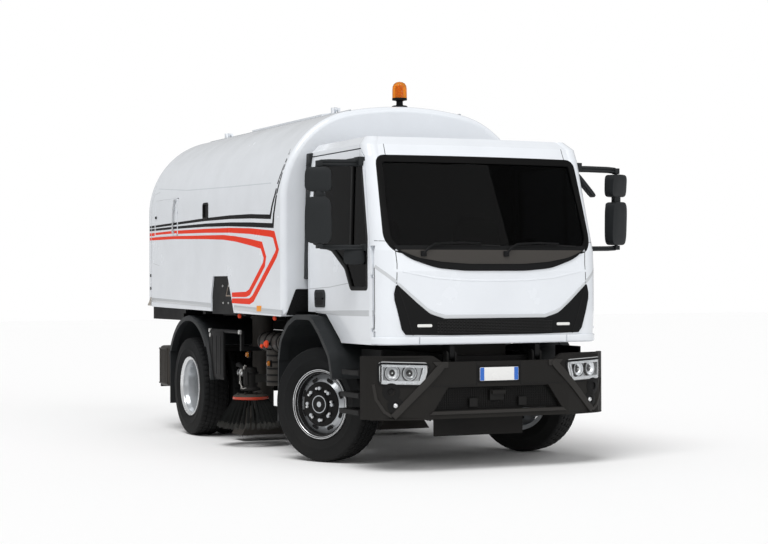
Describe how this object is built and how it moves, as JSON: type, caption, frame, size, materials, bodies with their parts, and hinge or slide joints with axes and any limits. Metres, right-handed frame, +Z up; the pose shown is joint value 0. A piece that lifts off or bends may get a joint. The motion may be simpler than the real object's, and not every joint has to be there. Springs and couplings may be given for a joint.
{
  "type": "street sweeper truck",
  "caption": "Two-axle street sweeper truck with a tilting cab, a tipping arched hopper and a pair of turning gutter brushes.",
  "frame": {"origin": "on the ground, midway along the length and across the width", "axes": "+Z up, the cab faces -Y, +X is the driver's left-hand side"},
  "size_m": [3.11, 5.81, 3.4109],
  "materials": {
    "white_paint": "gloss",
    "chassis_black": "satin",
    "bumper_grey": "matte",
    "black_plastic": "satin",
    "mirror_plastic": "satin",
    "tyre_rubber": "matte",
    "rim_silver": "satin",
    "tinted_glass": "gloss",
    "cast_metal": "matte",
    "steel": "satin",
    "ram_chrome": "polished",
    "seat_fabric": "matte",
    "dash_plastic": "matte",
    "lamp_lens": "gloss",
    "amber_lens": "gloss",
    "service_brown": "matte",
    "brush_bristle": "matte"
  },
  "bodies": {
    "chassis": {"frame_rails": "chassis_black", "frame_brackets": "chassis_black", "axles": "cast_metal", "engine_block": "cast_metal", "front_carrier": "chassis_black", "bumper": "bumper_grey", "lamps": "lamp_lens", "front_mudguards": "black_plastic", "rear_mudguards": "black_plastic", "steps": "black_plastic", "side_guards": "chassis_black", "rear_underrun": "chassis_black", "service_boxes": "service_brown", "fuel_tank": "steel", "suction_gear": "chassis_black"},
    "cab": {"cab_floor": "dash_plastic", "cab_front": "white_paint", "cab_back": "white_paint", "cab_roof": "white_paint", "cab_trim": "black_plastic", "windscreen": "tinted_glass", "dashboard": "dash_plastic", "seats": "seat_fabric"},
    "hopper": {"hopper_sides": "white_paint", "hopper_roof": "white_paint", "hopper_front": "white_paint", "hopper_base": "chassis_black", "hopper_covers": "black_plastic", "beacon": "amber_lens"},
    "tailgate": {"tailgate": "white_paint"},
    "roof_hatch": {"roof_hatch": "white_paint"},
    "ram_barrels": {"ram_barrels": "chassis_black"},
    "ram_rods": {"ram_rods": "ram_chrome"},
    "door_right": {"door_right": "white_paint", "door_glass_right": "tinted_glass", "mirrors_right": "mirror_plastic"},
    "knuckle_right": {"knuckle_right": "cast_metal"},
    "wheel_front_right": {"tyre_front_right": "tyre_rubber", "rim_front_right": "rim_silver"},
    "wheels_rear_right": {"tyres_rear_right": "tyre_rubber", "rim_rear_right": "rim_silver"},
    "hopper_door_right": {"hopper_door_right": "white_paint"},
    "brush_arm_right": {"brush_arm_right": "chassis_black"},
    "brush_head_right": {"brush_head_right": "chassis_black"},
    "brush_right": {"brush_right": "brush_bristle"},
    "door_left": {"door_left": "white_paint", "door_glass_left": "tinted_glass", "mirrors_left": "mirror_plastic"},
    "knuckle_left": {"knuckle_left": "cast_metal"},
    "wheel_front_left": {"tyre_front_left": "tyre_rubber", "rim_front_left": "rim_silver"},
    "wheels_rear_left": {"tyres_rear_left": "tyre_rubber", "rim_rear_left": "rim_silver"},
    "hopper_door_left": {"hopper_door_left": "white_paint"},
    "brush_arm_left": {"brush_arm_left": "chassis_black"},
    "brush_head_left": {"brush_head_left": "chassis_black"},
    "brush_left": {"brush_left": "brush_bristle"}
  },
  "joints": [
    {"name": "cab_tilt", "type": "hinge", "parent": "chassis", "child": "cab", "pos_m": [0, -2.785, 0.95], "axis": [1, 0, 0], "range_deg": [0, 45]},
    {"name": "hopper_tip", "type": "hinge", "parent": "chassis", "child": "hopper", "pos_m": [0, 2.565, 1.13], "axis": [-1, 0, 0], "range_deg": [0, 50]},
    {"name": "ram_swing", "type": "hinge", "parent": "chassis", "child": "ram_barrels", "pos_m": [0, 2.315, 0.74], "axis": [-1, 0, 0], "range_deg": [0, 31]},
    {"name": "ram_extend", "type": "slide", "parent": "ram_barrels", "child": "ram_rods", "axis": [0, -0.5463, 0.8376], "range_m": [0, 0.33]},
    {"name": "tailgate_lift", "type": "hinge", "parent": "hopper", "child": "tailgate", "pos_m": [0, 2.75, 3.197], "axis": [1, 0, 0], "range_deg": [0, 80]},
    {"name": "roof_hatch_lift", "type": "hinge", "parent": "hopper", "child": "roof_hatch", "pos_m": [0, -0.282, 3.205], "axis": [1, 0, 0], "range_deg": [0, 70]},
    {"name": "door_left_swing", "type": "hinge", "parent": "cab", "child": "door_left", "pos_m": [1.024, -2.651, 1.38], "axis": [0, 0, -1], "range_deg": [0, 75]},
    {"name": "steer_left", "type": "hinge", "parent": "chassis", "child": "knuckle_left", "pos_m": [0.936, -1.585, 0.5], "axis": [0, 0, 1], "range_deg": [-67.4, 12.6]},
    {"name": "wheel_front_left_spin", "type": "hinge", "parent": "knuckle_left", "child": "wheel_front_left", "pos_m": [0.99726, -1.55325, 0.5], "axis": [0.8878, 0.4602, 0], "continuous": true},
    {"name": "wheels_rear_left_spin", "type": "hinge", "parent": "chassis", "child": "wheels_rear_left", "pos_m": [0.944, 1.52, 0.5], "axis": [1, 0, 0], "continuous": true},
    {"name": "hopper_door_left_swing", "type": "hinge", "parent": "hopper", "child": "hopper_door_left", "pos_m": [1.228, 1.852, 2.24], "axis": [0, 0, -1], "range_deg": [0, 100]},
    {"name": "brush_arm_left_lift", "type": "hinge", "parent": "chassis", "child": "brush_arm_left", "pos_m": [0.62, 0.115, 0.64], "axis": [0, -1, 0], "range_deg": [-27, 20]},
    {"name": "brush_head_left_level", "type": "hinge", "parent": "brush_arm_left", "child": "brush_head_left", "pos_m": [0.965, 0.115, 0.64], "axis": [0, -1, 0], "range_deg": [-20, 27]},
    {"name": "brush_left_spin", "type": "hinge", "parent": "brush_head_left", "child": "brush_left", "pos_m": [1.075, 0.115, 0.4], "axis": [0, 0, 1], "continuous": true},
    {"name": "door_right_swing", "type": "hinge", "parent": "cab", "child": "door_right", "pos_m": [-1.024, -2.651, 1.38], "axis": [0, 0, 1], "range_deg": [0, 75]},
    {"name": "steer_right", "type": "hinge", "parent": "chassis", "child": "knuckle_right", "pos_m": [-0.936, -1.585, 0.5], "axis": [0, 0, 1], "range_deg": [-67.4, 12.6]},
    {"name": "wheel_front_right_spin", "type": "hinge", "parent": "knuckle_right", "child": "wheel_front_right", "pos_m": [-0.99726, -1.61675, 0.5], "axis": [0.8878, 0.4602, 0], "continuous": true},
    {"name": "wheels_rear_right_spin", "type": "hinge", "parent": "chassis", "child": "wheels_rear_right", "pos_m": [-0.944, 1.52, 0.5], "axis": [1, 0, 0], "continuous": true},
    {"name": "hopper_door_right_swing", "type": "hinge", "parent": "hopper", "child": "hopper_door_right", "pos_m": [-1.228, 1.852, 2.24], "axis": [0, 0, 1], "range_deg": [0, 100]},
    {"name": "brush_arm_right_lift", "type": "hinge", "parent": "chassis", "child": "brush_arm_right", "pos_m": [-0.62, 0.115, 0.64], "axis": [0, 1, 0], "range_deg": [-27, 20]},
    {"name": "brush_head_right_level", "type": "hinge", "parent": "brush_arm_right", "child": "brush_head_right", "pos_m": [-0.965, 0.115, 0.64], "axis": [0, 1, 0], "range_deg": [-20, 27]},
    {"name": "brush_right_spin", "type": "hinge", "parent": "brush_head_right", "child": "brush_right", "pos_m": [-1.075, 0.115, 0.4], "axis": [0, 0, 1], "continuous": true}
  ],
  "couplings": [
    {"joint": "ram_swing", "follows": "hopper_tip", "ratio": 0.6048},
    {"joint": "ram_extend", "follows": "hopper_tip", "m_per_rad": 0.3714},
    {"joint": "steer_right", "follows": "steer_left", "ratio": 1},
    {"joint": "brush_head_left_level", "follows": "brush_arm_left_lift", "ratio": -1},
    {"joint": "brush_head_right_level", "follows": "brush_arm_right_lift", "ratio": -1}
  ]
}
